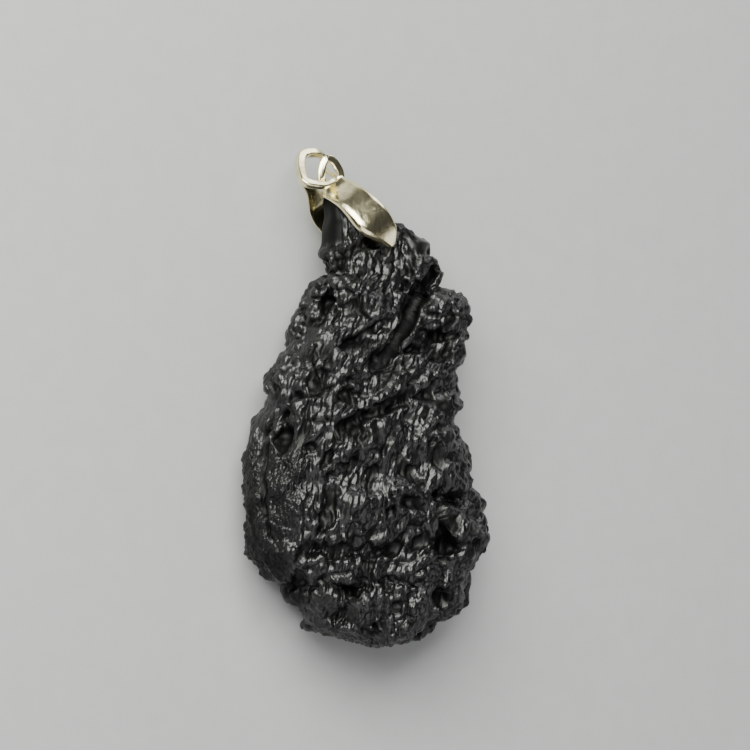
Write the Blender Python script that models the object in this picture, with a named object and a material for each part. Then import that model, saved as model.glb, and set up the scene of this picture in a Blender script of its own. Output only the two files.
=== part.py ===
# Tektite pendant: a sculpted piece of black glass, hung from a two-leaf pinch bail.
# It lies on its back. X is its width, Y its length with the bail end up, Z its thickness.
# All sizes are millimetres, and turn into metres where a mesh is made.
import math

import bmesh
import bpy
import numpy as np
from mathutils import Matrix, Vector, noise

MM = 0.001
LEAN = math.radians(30)        # outline and relief are given as seen from this far left of the front
CENTRE = (-4.095, -2.064)      # middle of the whole pendant, moved to X = Y = 0

# Grid of the stone
TOP, BOTTOM = 17.7, -26.8
RING_SPACING = 0.8             # widest and closest spacing of the rings of vertices along the stone
RING_CLOSEST = 0.36
SPOKES = 52                    # vertices in each ring
SQUARENESS_NECK = 3.2          # exponent of the sections: 2 is an ellipse, more is squarer
SQUARENESS_BODY = 2.3
NECK_STARTS, NECK_FULL = 7.0, 11.0
LEAST_SPREAD = 0.3             # keeps the sections near the stone's two ends from closing

# Left and right outline of the stone: (Y, distance across the leaning view).
LEFT_OUTLINE = [
    (17.7, -5.3), (14.5, -5.4), (12.0, -5.4), (11.2, -4.9), (10.0, -4.5), (9.5, -5.9),
    (9.1, -6.8), (6.0, -7.2), (4.4, -8.3), (2.0, -9.8), (-1.8, -10.9), (-6.5, -12.3),
    (-9.6, -12.6), (-16.0, -12.3), (-17.7, -12.5), (-19.1, -11.6), (-20.3, -10.4),
    (-21.0, -8.6), (-22.4, -8.5), (-23.3, -7.4), (-25.2, -6.7), (-26.2, -3.6), (-26.8, -1.4)]
RIGHT_OUTLINE = [
    (17.7, -2.3), (16.3, 0.0), (14.9, 2.8), (13.3, 4.9), (12.0, 5.1), (11.2, 6.6), (10.3, 7.3),
    (9.1, 6.6), (8.7, 6.2), (8.1, 8.7), (5.8, 9.5), (4.4, 9.7), (2.9, 8.9), (1.3, 8.7),
    (0.3, 7.7), (-1.7, 8.0), (-3.2, 8.7), (-3.9, 8.3), (-6.0, 8.9), (-8.2, 8.9), (-11.7, 9.7),
    (-12.9, 10.6), (-15.5, 11.7), (-17.2, 11.1), (-18.6, 10.2), (-19.5, 9.0), (-22.9, 9.0),
    (-23.8, 8.6), (-24.9, 6.9), (-26.4, 4.7), (-26.8, 1.2)]
# Back and front of the stone: (Y, Z of the back, Z of the front).
THICKNESS = [
    (17.7, 4.4, 6.8), (16.8, 3.8, 7.7), (15.4, 3.4, 8.2), (13.0, 3.3, 8.4), (10.0, 3.0, 8.8),
    (6.5, 1.4, 9.9), (2.0, 0.1, 10.9), (-4.0, -0.4, 11.6), (-12.0, -0.4, 12.0),
    (-18.0, -0.3, 11.6), (-23.0, 0.4, 10.6), (-26.0, 2.0, 9.0), (-26.8, 3.4, 7.8)]

# Gouges and furrows of the seen side: points (across, Y), half width, depth.
FURROWS = [
    ([(4.6, 8.9), (3.7, 6.5), (2.0, 3.2)], 1.0, 2.0),
    ([(-2.9, -5.4), (-1.4, -4.1), (2.1, -2.9), (7.3, -1.4)], 0.6, 0.9),
    ([(-2.5, 3.0), (0.3, 4.0), (1.6, 5.2)], 0.6, 0.8),
    ([(-9.4, -2.8), (-6.0, -1.0)], 0.5, 0.6),
    ([(-6.8, 6.0), (-7.9, 4.0)], 0.6, 0.7),
    ([(-6.2, 7.6), (-3.4, 6.6)], 0.5, 0.6),
    ([(-9.0, -4.3), (-9.3, -7.4)], 0.6, 0.8),
    ([(5.0, 4.2), (9.4, 4.0)], 0.5, 0.7),
    ([(-6.2, -17.2), (-2.0, -17.6), (2.3, -17.3)], 0.6, 0.9),
    ([(6.6, -12.0), (9.0, -12.6)], 0.7, 1.3),
    ([(6.4, -16.6), (8.2, -17.2)], 0.7, 1.2),
    ([(-3.4, -21.2), (-1.2, -21.0)], 0.5, 0.8),
    ([(1.2, -20.4), (4.6, -20.8)], 0.5, 0.6)]
# Swellings of the seen side: middle (across, Y), half width, half height, rise.
SWELLINGS = [
    (0.2, 9.0, 2.2, 3.4, 0.7), (7.0, 6.6, 2.0, 1.6, 0.6), (-4.5, 2.0, 2.4, 2.0, 0.5),
    (4.6, 0.6, 2.4, 1.4, 0.6), (-0.6, -5.9, 1.0, 1.4, 0.4), (5.8, -6.6, 1.8, 2.8, 0.5),
    (6.2, -14.6, 1.0, 2.2, 0.7), (-2.5, -13.0, 3.0, 2.6, 0.5), (0.0, -23.0, 3.2, 1.4, 0.5),
    (-8.0, -11.0, 1.8, 4.0, 0.3)]
SEEN_FROM, SEEN_FULLY = 0.1, 0.45    # how far a face must turn to the viewer to carry these

# Coarse relief all over the stone
CRAG_SIZE = 4.2
CRAG_HEIGHT = 0.6
CRAG_STEEPNESS = 3.0
KNOB_SIZE = 1.7
KNOB_HEIGHT = 0.45
KNOB_OFFSET = Vector((7.0, 3.0, 5.0))
SLANT = 0.5                    # the crags run up to the right
TOP_FADE, BOTTOM_FADE = 2.5, 1.5
CALM_RADIUS = 5.6              # around the hole the relief sinks in only, so that the leaves pass
CALM_FADE = 2.0
CALM_SHARE = 0.25

# Drilled hole, pegs and pivots of the bail
HOLE = (-4.9, 13.45)           # middle of the drilled hole
HOLE_RADIUS = 1.0
HOLE_POINTS = 24
DRILL_LENGTH = 12.0
SWING = math.radians(33)       # the bail lies turned this far to the left of the stone's length
PEG_RADIUS = 0.38
PEG_POINTS = 12
FRONT_PEG = (6.2, 9.8)         # Z of the ends of the two pegs
BACK_PEG = (2.35, 5.7)
SWING_PIVOT = (0.0, 0.0, 6.0)  # pivots: (across the bail, along it from the hole, Z)
OPEN_PIVOT = (0.35, 7.6, 6.6)

# Leaves: (across the bail, along it from the hole, half width, Z of the middle, half thickness).
FRONT_LEAF = [
    (0.45, -1.45, 0.3, 9.45, 0.2), (0.45, -1.0, 0.85, 9.6, 0.36), (0.45, -0.1, 1.45, 9.8, 0.52),
    (0.45, 1.2, 1.85, 9.95, 0.62), (0.45, 2.6, 1.95, 9.8, 0.64), (0.4, 3.8, 1.8, 9.3, 0.6),
    (0.35, 4.9, 1.5, 8.4, 0.54), (0.35, 5.8, 1.15, 7.3, 0.45), (0.35, 6.45, 0.9, 6.5, 0.38),
    (0.35, 6.8, 0.75, 6.2, 0.34)]
BACK_LEAF = [
    (0.35, -1.35, 0.25, 2.6, 0.16), (0.3, -0.9, 0.75, 2.5, 0.26), (0.25, 0.2, 1.3, 2.35, 0.36),
    (0.1, 1.8, 1.7, 2.2, 0.44), (-0.1, 3.2, 1.85, 2.25, 0.46), (-0.3, 4.5, 1.75, 2.7, 0.46),
    (-0.85, 5.5, 1.35, 3.6, 0.46), (-1.75, 6.7, 0.8, 5.0, 0.46), (-2.5, 7.8, 0.6, 6.4, 0.44),
    (-2.9, 8.6, 0.55, 7.1, 0.4)]
LEAF_POINTS = 14               # vertices around a leaf
INNER_DOME = 0.55              # a leaf's inner side is this much flatter than its outer side

# Chain ring: middle line (across the bail, along it, Z) and wire radius. It dives through the eyelet.
RING = [
    (-3.05, 8.85, 7.3, 0.46), (-2.4, 8.0, 7.7, 0.38), (-1.5, 7.4, 7.85, 0.32),
    (-0.5, 7.25, 7.65, 0.29), (0.1, 7.35, 7.0, 0.26), (0.4, 7.6, 6.15, 0.26),
    (0.7, 8.0, 5.15, 0.28), (1.15, 8.6, 4.5, 0.32), (1.4, 9.15, 4.4, 0.36),
    (0.9, 9.8, 4.5, 0.42), (0.0, 10.3, 4.6, 0.46), (-0.8, 10.45, 4.9, 0.48),
    (-1.5, 10.2, 5.4, 0.48), (-2.3, 9.7, 6.2, 0.48)]
RING_FLATNESS = 1.3            # thickness of the wire against its width
# Eyelet: middle line (across, along) in the plane Z = EYELET_Z.
EYELET = [
    (-0.2, 6.65), (-0.75, 7.0), (-0.8, 7.6), (-0.35, 8.3), (0.35, 8.9), (0.95, 9.0),
    (1.35, 8.6), (1.5, 7.8), (1.45, 7.1), (1.1, 6.65), (0.45, 6.45)]
EYELET_Z = 6.15
EYELET_RADIUS = 0.36
WIRE_POINTS = 10               # vertices around the ring's and the eyelet's wire
WIRE_STEPS = 2                 # rings of vertices for each point of a middle line


def clear_objects():
    for old in list(bpy.data.objects):
        bpy.data.objects.remove(old, do_unlink=True)


def plain_material(name, colour, roughness, metallic):
    material = bpy.data.materials.new(name)
    material.use_nodes = True
    shader = material.node_tree.nodes["Principled BSDF"]
    shader.inputs["Base Color"].default_value = (*colour, 1.0)
    shader.inputs["Roughness"].default_value = roughness
    shader.inputs["Metallic"].default_value = metallic
    return material


def read_off(table, y, column=1):
    """Value of a (Y, ...) table at height y."""
    heights = [row[0] for row in reversed(table)]
    values = [row[column] for row in reversed(table)]
    return float(np.interp(y, heights, values))


def section(y):
    """Middle, half width, half thickness and squareness of the stone's section at y."""
    back, front = read_off(THICKNESS, y, 1), read_off(THICKNESS, y, 2)
    left, right = read_off(LEFT_OUTLINE, y), read_off(RIGHT_OUTLINE, y)
    neck_share = min(max((y - NECK_STARTS) / (NECK_FULL - NECK_STARTS), 0.0), 1.0)
    squareness = SQUARENESS_BODY + (SQUARENESS_NECK - SQUARENESS_BODY) * neck_share
    # Seen at a lean, a section's width is a mean of its true width and its thickness.
    power = squareness / (squareness - 1)
    half_seen, half_thick = (right - left) / 2, (front - back) / 2
    rest = half_seen ** power - (half_thick * math.sin(LEAN)) ** power
    half_wide = max(rest, LEAST_SPREAD) ** (1 / power) / math.cos(LEAN)
    middle_z = (front + back) / 2
    middle_x = ((left + right) / 2 - middle_z * math.sin(LEAN)) / math.cos(LEAN)
    return middle_x, middle_z, half_wide, half_thick, squareness


def ring_heights():
    """Heights of the rings: the corners of the outlines, and even steps between them."""
    corners = sorted({row[0] for row in LEFT_OUTLINE + RIGHT_OUTLINE}, reverse=True)
    kept = [TOP]
    for y in corners:
        if kept[-1] - y >= RING_CLOSEST and y - BOTTOM >= RING_CLOSEST:
            kept.append(y)
    kept.append(BOTTOM)
    heights = []
    for upper, lower in zip(kept, kept[1:]):
        steps = math.ceil((upper - lower) / RING_SPACING)
        heights += [upper + (lower - upper) * step / steps for step in range(steps)]
    return heights + [BOTTOM]


def smooth_step(value, low, high):
    share = min(max((value - low) / (high - low), 0.0), 1.0)
    return share * share * (3 - 2 * share)


def distance_to_line(u, v, points):
    """Distance from (u, v) to a bent line."""
    nearest = math.inf
    for (u0, v0), (u1, v1) in zip(points, points[1:]):
        du, dv = u1 - u0, v1 - v0
        share = ((u - u0) * du + (v - v0) * dv) / (du * du + dv * dv)
        share = min(max(share, 0.0), 1.0)
        nearest = min(nearest, math.hypot(u - u0 - share * du, v - v0 - share * dv))
    return nearest


def relief(point, outward):
    """Rise of the stone's surface along its outward direction."""
    across = point.x * math.cos(LEAN) + point.z * math.sin(LEAN)
    facing = -outward.x * math.sin(LEAN) + outward.z * math.cos(LEAN)
    seen = smooth_step(facing, SEEN_FROM, SEEN_FULLY)
    rise = 0.0
    for points, half_width, depth in FURROWS:
        distance = distance_to_line(across, point.y, points) / half_width
        rise -= seen * depth * math.exp(-distance * distance)
    for middle_u, middle_v, half_u, half_v, height in SWELLINGS:
        distance = math.hypot((across - middle_u) / half_u, (point.y - middle_v) / half_v)
        rise += seen * height * math.exp(-distance * distance)
    # The coarse relief has steep slopes between flat tops and floors.
    slanted = Vector((across - SLANT * point.y, point.y + SLANT * across, point.z))
    crag = noise.noise(slanted / CRAG_SIZE, noise_basis="PERLIN_ORIGINAL")
    crag = math.tanh(CRAG_STEEPNESS * crag)
    knob = noise.noise(slanted / KNOB_SIZE + KNOB_OFFSET, noise_basis="PERLIN_ORIGINAL")
    ends = smooth_step(TOP - point.y, 0.0, TOP_FADE) * smooth_step(point.y - BOTTOM, 0.0, BOTTOM_FADE)
    rise += ends * (CRAG_HEIGHT * crag + KNOB_HEIGHT * knob)
    from_hole = math.hypot(point.x - HOLE[0], point.y - HOLE[1])
    rough = smooth_step(from_hole, CALM_RADIUS - CALM_FADE, CALM_RADIUS)
    return rise * rough + min(rise, 0.0) * CALM_SHARE * (1 - rough)


def stone_vertex(y, turn):
    """One vertex of the stone, at height y and this angle around it."""
    middle_x, middle_z, half_wide, half_thick, squareness = section(y)
    cosine, sine = math.cos(turn), math.sin(turn)
    x = math.copysign(abs(cosine) ** (2 / squareness), cosine)
    z = math.copysign(abs(sine) ** (2 / squareness), sine)
    point = Vector((middle_x + half_wide * x, y, middle_z + half_thick * z))
    outward = Vector((
        math.copysign(abs(x) ** (squareness - 1), x) / half_wide, 0.0,
        math.copysign(abs(z) ** (squareness - 1), z) / half_thick)).normalized()
    point += outward * relief(point, outward)
    point.z = max(point.z, 0.0)        # the flat patch that it lies on
    return point


def mesh_object(name, vertices, faces, material):
    """A closed object from vertices in millimetres."""
    mesh = bpy.data.meshes.new(name)
    places = [((v[0] - CENTRE[0]) * MM, (v[1] - CENTRE[1]) * MM, v[2] * MM) for v in vertices]
    mesh.from_pydata(places, [], faces)
    mesh.materials.append(material)
    solid = bpy.data.objects.new(name, mesh)
    bpy.context.collection.objects.link(solid)
    shape = bmesh.new()
    shape.from_mesh(mesh)
    bmesh.ops.recalc_face_normals(shape, faces=shape.faces)
    shape.to_mesh(mesh)
    shape.free()
    return solid


def tube_faces(rows, around, closed=False):
    """Faces of a tube of rows, with its two end faces unless it closes on itself."""
    faces = []
    for row in range(rows if closed else rows - 1):
        here, there = row * around, (row + 1) % rows * around
        for step in range(around):
            after = (step + 1) % around
            faces.append((here + step, here + after, there + after, there + step))
    if not closed:
        faces.append(tuple(range(around)))
        faces.append(tuple((rows - 1) * around + step for step in range(around)))
    return faces


def round_rod(name, middle, radius, low, high, sides, material):
    """An upright rod around the middle (X, Y), from Z low to Z high."""
    vertices = []
    for z in (low, high):
        for step in range(sides):
            turn = 2 * math.pi * step / sides + SWING
            vertices.append((middle[0] + radius * math.cos(turn), middle[1] + radius * math.sin(turn), z))
    return mesh_object(name, vertices, tube_faces(2, sides), material)


def bail_point(across, along, z):
    """Place of a point of the bail, given across the bail and along it from the hole."""
    cosine, sine = math.cos(SWING), math.sin(SWING)
    return Vector((HOLE[0] + across * cosine - along * sine, HOLE[1] + across * sine + along * cosine, z))


def leaf(name, rows, outer_side, material):
    """A leaf of rows, domed on its outer side (1 for the front, -1 for the back)."""
    vertices = []
    for across, along, half_width, z, half_thick in rows:
        for step in range(LEAF_POINTS):
            turn = 2 * math.pi * step / LEAF_POINTS
            side = math.cos(turn)
            lift = math.sin(turn)
            if lift * outer_side < 0:
                lift *= INNER_DOME
            vertices.append(bail_point(across + half_width * side, along, z + half_thick * lift))
    return mesh_object(name, vertices, tube_faces(len(rows), LEAF_POINTS), material)


def curve_through(points):
    """Points of a smooth closed curve through the given ones."""
    count = len(points)
    places = []
    for index in range(count):
        before, start, end, after = (np.array(points[(index + k) % count]) for k in (-1, 0, 1, 2))
        for step in range(WIRE_STEPS):
            t = step / WIRE_STEPS
            places.append(0.5 * (2 * start + (end - before) * t
                                 + (2 * before - 5 * start + 4 * end - after) * t * t
                                 + (3 * start - before - 3 * end + after) * t ** 3))
    return places


def wire_loop(name, points, flatness, material):
    """A closed loop of wire. Points are (across, along, Z, radius)."""
    places = curve_through(points)
    middle = sum((p[:3] for p in places), np.zeros(3)) / len(places)
    normal = np.zeros(3)
    for p, q in zip(places, places[1:] + places[:1]):
        normal = normal + np.cross(p[:3] - middle, q[:3] - middle)
    normal = normal / np.linalg.norm(normal)
    vertices = []
    for index, place in enumerate(places):
        ahead = places[(index + 1) % len(places)][:3] - places[index - 1][:3]
        ahead = ahead / np.linalg.norm(ahead)
        sideways = np.cross(ahead, normal)
        sideways = sideways / np.linalg.norm(sideways)
        upward = np.cross(sideways, ahead)
        for step in range(WIRE_POINTS):
            turn = 2 * math.pi * (step + 0.5) / WIRE_POINTS
            offset = place[3] * (math.cos(turn) * sideways + flatness * math.sin(turn) * upward)
            vertices.append(bail_point(*(place[:3] + offset)))
    return mesh_object(name, vertices, tube_faces(len(places), WIRE_POINTS, closed=True), material)


def combine(target, tool, operation):
    """Join a tool object to the target, or cut it out, and remove the tool."""
    modifier = target.modifiers.new("combine", "BOOLEAN")
    modifier.operation = operation
    modifier.solver = "EXACT"
    modifier.object = tool
    bpy.context.view_layer.objects.active = target
    bpy.ops.object.modifier_apply(modifier=modifier.name)
    bpy.data.objects.remove(tool, do_unlink=True)


def split_faces(solid, smooth):
    """Split the faces into triangles and set their shading."""
    shape = bmesh.new()
    shape.from_mesh(solid.data)
    bmesh.ops.remove_doubles(shape, verts=shape.verts, dist=0.01 * MM)
    bmesh.ops.triangulate(shape, faces=shape.faces)
    shape.to_mesh(solid.data)
    shape.free()
    for face in solid.data.polygons:
        face.use_smooth = smooth


def hang_on(solid, parent, pivot):
    """Put the solid's origin on its pivot, and hang it on its parent without moving it."""
    place = bail_point(*pivot)
    place = Vector((place.x - CENTRE[0], place.y - CENTRE[1], place.z)) * MM
    solid.data.transform(Matrix.Translation(-place))
    solid.parent = parent
    solid.location = place - parent.matrix_world.translation
    bpy.context.view_layer.update()


def make_tektite(glass):
    """The stone, with the hole drilled through its neck."""
    heights = ring_heights()
    turns = [2 * math.pi * spoke / SPOKES for spoke in range(SPOKES)]
    vertices = [stone_vertex(y, turn) for y in heights for turn in turns]
    tektite = mesh_object("tektite", vertices, tube_faces(len(heights), SPOKES), glass)
    drill = round_rod("drill", HOLE, HOLE_RADIUS, 0.0, DRILL_LENGTH, HOLE_POINTS, glass)
    combine(tektite, drill, "DIFFERENCE")
    split_faces(tektite, False)
    return tektite


def make_bail_back(gold, tektite):
    """The back half of the bail: leaf, chain ring and peg. It swings in the hole."""
    bail_back = leaf("bail_back", BACK_LEAF, -1, gold)
    combine(bail_back, wire_loop("chain_ring", RING, RING_FLATNESS, gold), "UNION")
    combine(bail_back, round_rod("back_peg", HOLE, PEG_RADIUS, *BACK_PEG, PEG_POINTS, gold), "UNION")
    split_faces(bail_back, True)
    hang_on(bail_back, tektite, SWING_PIVOT)
    return bail_back


def make_bail_front(gold, bail_back):
    """The front half of the bail: leaf, eyelet and peg. Its eyelet turns on the chain ring."""
    bail_front = leaf("bail_front", FRONT_LEAF, 1, gold)
    middle_line = [(across, along, EYELET_Z, EYELET_RADIUS) for across, along in EYELET]
    combine(bail_front, wire_loop("eyelet", middle_line, 1.0, gold), "UNION")
    combine(bail_front, round_rod("front_peg", HOLE, PEG_RADIUS, *FRONT_PEG, PEG_POINTS, gold), "UNION")
    split_faces(bail_front, True)
    hang_on(bail_front, bail_back, OPEN_PIVOT)


clear_objects()
glass = plain_material("tektite_glass", (0.012, 0.012, 0.013), 0.16, 0.0)
gold = plain_material("pale_gold", (0.86, 0.78, 0.60), 0.14, 1.0)
tektite = make_tektite(glass)
bail_back = make_bail_back(gold, tektite)
make_bail_front(gold, bail_back)
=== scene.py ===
# %% [markdown]
# A tektite pendant. The stone is one lump of natural black glass, etched all over into
# knobs, ribs, ledges and pits, with a hole drilled through its narrow end. A pale gold
# pinch bail in two halves holds it: each half is a leaf with a peg in the hole, and the
# front half's eyelet is linked with the back half's chain ring.
#
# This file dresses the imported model. It keeps every size and place of the frame, and
# builds finer meshes and finishes around it.

# %% Load the frame
import math

import bmesh
import bpy
import numpy as np
from mathutils import Matrix, Vector, noise


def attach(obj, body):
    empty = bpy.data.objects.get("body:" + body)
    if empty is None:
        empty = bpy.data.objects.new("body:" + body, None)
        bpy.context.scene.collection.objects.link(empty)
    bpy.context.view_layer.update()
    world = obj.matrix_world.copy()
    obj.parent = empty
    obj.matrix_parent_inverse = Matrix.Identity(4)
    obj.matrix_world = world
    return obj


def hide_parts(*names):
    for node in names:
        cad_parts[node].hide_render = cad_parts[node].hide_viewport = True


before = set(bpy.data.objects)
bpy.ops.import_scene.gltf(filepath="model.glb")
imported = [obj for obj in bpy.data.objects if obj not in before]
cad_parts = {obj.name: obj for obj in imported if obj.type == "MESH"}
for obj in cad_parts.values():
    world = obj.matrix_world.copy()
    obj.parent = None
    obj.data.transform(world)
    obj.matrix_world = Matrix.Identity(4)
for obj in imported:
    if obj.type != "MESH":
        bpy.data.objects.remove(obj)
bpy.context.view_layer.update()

MM = 0.001

# %% [markdown]
# The camera comes first, because the stone's relief is placed as it looks from there. It
# looks down on the pendant, leaning 30 degrees to the left, through a long lens from 625 mm
# away, so that next to no perspective shows. 75 mm of the pendant's plane fill the picture.

# %% Camera
LEAN = math.radians(30)
CENTRE = (-4.095, -2.064)      # the pendant's middle, in the stone's own millimetres
AIM = (0.745, 2.064, 5.8)      # the point in the middle of the picture
PICTURE_WIDTH = 75
LENS, SENSOR = 300, 36

across_way = np.array([math.cos(LEAN), 0, math.sin(LEAN)])
length_way = np.array([0, 1.0, 0])
camera_way = np.array([-math.sin(LEAN), 0, math.cos(LEAN)])
camera_data = bpy.data.cameras.new("camera")
camera_data.lens, camera_data.sensor_width = LENS, SENSOR
camera_data.clip_start = 0.01
camera = bpy.data.objects.new("camera", camera_data)
bpy.context.scene.collection.objects.link(camera)
stand = Matrix((across_way, length_way, camera_way)).transposed().to_4x4()
stand.translation = Vector(AIM) * MM + Vector(camera_way) * (PICTURE_WIDTH * MM * LENS / SENSOR)
camera.matrix_world = stand
bpy.context.scene.camera = camera
print("camera is", round(PICTURE_WIDTH * LENS / SENSOR), "mm away")

# %% [markdown]
# The stone's body is a stack of sections, like the slices of a loaf. Each is a squarish
# oval. Its left and right edge come from the outline as the camera sees it, and its back
# and front from the thickness. These are the same values as in the solids, so the fine
# stone fills the same space. A stack of sections was chosen because an irregular lump is
# easier to describe by its outline than by pushing a ball about.

# %% Outline and thickness of the stone
LEFT_OUTLINE = [
    (17.7, -5.3), (14.5, -5.4), (12.0, -5.4), (11.2, -4.9), (10.0, -4.5), (9.5, -5.9),
    (9.1, -6.8), (6.0, -7.2), (4.4, -8.3), (2.0, -9.8), (-1.8, -10.9), (-6.5, -12.3),
    (-9.6, -12.6), (-16.0, -12.3), (-17.7, -12.5), (-19.1, -11.6), (-20.3, -10.4),
    (-21.0, -8.6), (-22.4, -8.5), (-23.3, -7.4), (-25.2, -6.7), (-26.2, -3.6), (-26.8, -1.4)]
RIGHT_OUTLINE = [
    (17.7, -2.3), (16.3, 0.0), (14.9, 2.8), (13.3, 4.9), (12.0, 5.1), (11.2, 6.6), (10.3, 7.3),
    (9.1, 6.6), (8.7, 6.2), (8.1, 8.7), (5.8, 9.5), (4.4, 9.7), (2.9, 8.9), (1.3, 8.7),
    (0.3, 7.7), (-1.7, 8.0), (-3.2, 8.7), (-3.9, 8.3), (-6.0, 8.9), (-8.2, 8.9), (-11.7, 9.7),
    (-12.9, 10.6), (-15.5, 11.7), (-17.2, 11.1), (-18.6, 10.2), (-19.5, 9.0), (-22.9, 9.0),
    (-23.8, 8.6), (-24.9, 6.9), (-26.4, 4.7), (-26.8, 1.2)]
THICKNESS = [
    (17.7, 4.4, 6.8), (16.8, 3.8, 7.7), (15.4, 3.4, 8.2), (13.0, 3.3, 8.4), (10.0, 3.0, 8.8),
    (6.5, 1.4, 9.9), (2.0, 0.1, 10.9), (-4.0, -0.4, 11.6), (-12.0, -0.4, 12.0),
    (-18.0, -0.3, 11.6), (-23.0, 0.4, 10.6), (-26.0, 2.0, 9.0), (-26.8, 3.4, 7.8)]
TOP, BOTTOM = 17.7, -26.8
SQUARENESS_NECK, SQUARENESS_BODY = 3.2, 2.3      # 2 is an ellipse, more is squarer
NECK_STARTS, NECK_FULL = 7.0, 11.0               # heights between which the neck turns squarer
LEAST_SPREAD = 0.3                               # keeps the sections at the ends from closing


def read_off(table, y, column=1):
    """Values of a (Y, ...) table at the heights y."""
    rows = np.array(table)[::-1]
    return np.interp(y, rows[:, 0], rows[:, column])


def sections(y):
    """Middle, half width, half thickness and squareness of the sections at the heights y."""
    back, front = read_off(THICKNESS, y, 1), read_off(THICKNESS, y, 2)
    left, right = read_off(LEFT_OUTLINE, y), read_off(RIGHT_OUTLINE, y)
    neck = np.clip((y - NECK_STARTS) / (NECK_FULL - NECK_STARTS), 0, 1)
    squareness = SQUARENESS_BODY + (SQUARENESS_NECK - SQUARENESS_BODY) * neck
    power = squareness / (squareness - 1)
    half_seen, half_thick = (right - left) / 2, (front - back) / 2
    rest = half_seen ** power - (half_thick * math.sin(LEAN)) ** power
    half_wide = np.maximum(rest, LEAST_SPREAD) ** (1 / power) / math.cos(LEAN)
    middle_z = (front + back) / 2
    middle_x = ((left + right) / 2 - middle_z * math.sin(LEAN)) / math.cos(LEAN)
    return middle_x, middle_z, half_wide, half_thick, squareness


half_widths = sections(np.linspace(TOP, BOTTOM, 200))[2]
print("widest section:", round(2 * float(half_widths.max()), 1), "mm")

# %% [markdown]
# Every section gets the same number of vertices, a little denser on the seen side, and the
# sections are an even distance apart along the stone's skin. So the mesh is a regular grid
# with cells of about a sixth of a millimetre. An even grid matters here, because the relief
# is made by moving its vertices. Shrinking rings close the two ends in a low dome.

# %% Grid of the stone
RINGS, CAP_RINGS, SPOKES = 250, 8, 370
CAP_BULGE = 0.2         # how far the ends swell past the last sections
CAP_END = 0.12          # size of the flat middle of an end against its section
SEEN_EXTRA = 0.8        # how much denser the spokes stand on the front than on the back
TRIAL_TURNS, TRIAL_HEIGHTS = 1440, 2000


def signed_power(value, power):
    return np.sign(value) * np.abs(value) ** power


def ring_heights():
    """Heights of the sections, an even distance apart along the stone's skin."""
    trial = np.linspace(TOP, BOTTOM, TRIAL_HEIGHTS)
    middle_x, middle_z, wide, thick, square = sections(trial)
    steps = np.linalg.norm(np.diff([trial, middle_x, wide, thick], axis=1), axis=0)
    run = np.concatenate([[0], np.cumsum(steps)])
    return np.interp(np.linspace(0, run[-1], RINGS), run, trial)


def with_caps(places, outward):
    """The grid with rings that close its two ends in a low dome."""
    shrink = np.linspace(1, CAP_END, CAP_RINGS + 1)[1:, None, None]
    for end, way in ((0, 1), (-1, -1)):
        middle = places[end].mean(axis=0)
        cap = middle + (places[end] - middle) * shrink
        cap[..., 1] += way * CAP_BULGE * np.sqrt(1 - shrink[..., 0] ** 2)
        faced = np.broadcast_to([0.0, way, 0.0], cap.shape)
        order = slice(None, None, -1) if end == 0 else slice(None)
        pieces = (cap[order], places) if end == 0 else (places, cap)
        ways = (faced, outward) if end == 0 else (outward, faced)
        places, outward = np.concatenate(pieces), np.concatenate(ways)
    return places, outward


def stone_grid():
    """Places and outward directions of the smooth stone, as arrays of rings by spokes."""
    heights = ring_heights()
    turns = np.linspace(0, 2 * np.pi, TRIAL_TURNS + 1)
    places = np.zeros((RINGS, SPOKES, 3))
    outward = np.zeros((RINGS, SPOKES, 3))
    rings = zip(heights, *sections(heights))
    for ring, (y, middle_x, middle_z, wide, thick, square) in enumerate(rings):
        x = wide * signed_power(np.cos(turns), 2 / square)
        z = thick * signed_power(np.sin(turns), 2 / square)
        facing = np.clip((z / thick * camera_way[2] + x / wide * camera_way[0])[:-1], 0, 1)
        steps = np.hypot(np.diff(x), np.diff(z)) * (1 + SEEN_EXTRA * facing)
        run = np.concatenate([[0], np.cumsum(steps)])
        even = np.linspace(0, run[-1], SPOKES, endpoint=False)
        x, z = np.interp(even, run, x), np.interp(even, run, z)
        places[ring] = np.stack([middle_x + x, np.full(SPOKES, y), middle_z + z], axis=1)
        outward[ring, :, 0] = signed_power(x / wide, square - 1) / wide
        outward[ring, :, 2] = signed_power(z / thick, square - 1) / thick
    return places, outward / np.linalg.norm(outward, axis=2, keepdims=True)


places, outward = with_caps(*stone_grid())
ROWS = len(places)
print("grid of", ROWS, "rings with", SPOKES, "vertices each")

# %% [markdown]
# The coarse relief is nearly that of the solids: furrows, swellings, and crags that run up
# to the right. Only the long gouge at the upper right, which comes first in the list, is
# wider and shorter in the solids, and their bottom end is smoother. Arrays carry the whole
# grid through each step at once, which is much faster than a loop over its vertices. Around
# the drilled hole the relief only sinks in, which leaves room for the bail's leaves to swing.

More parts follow.
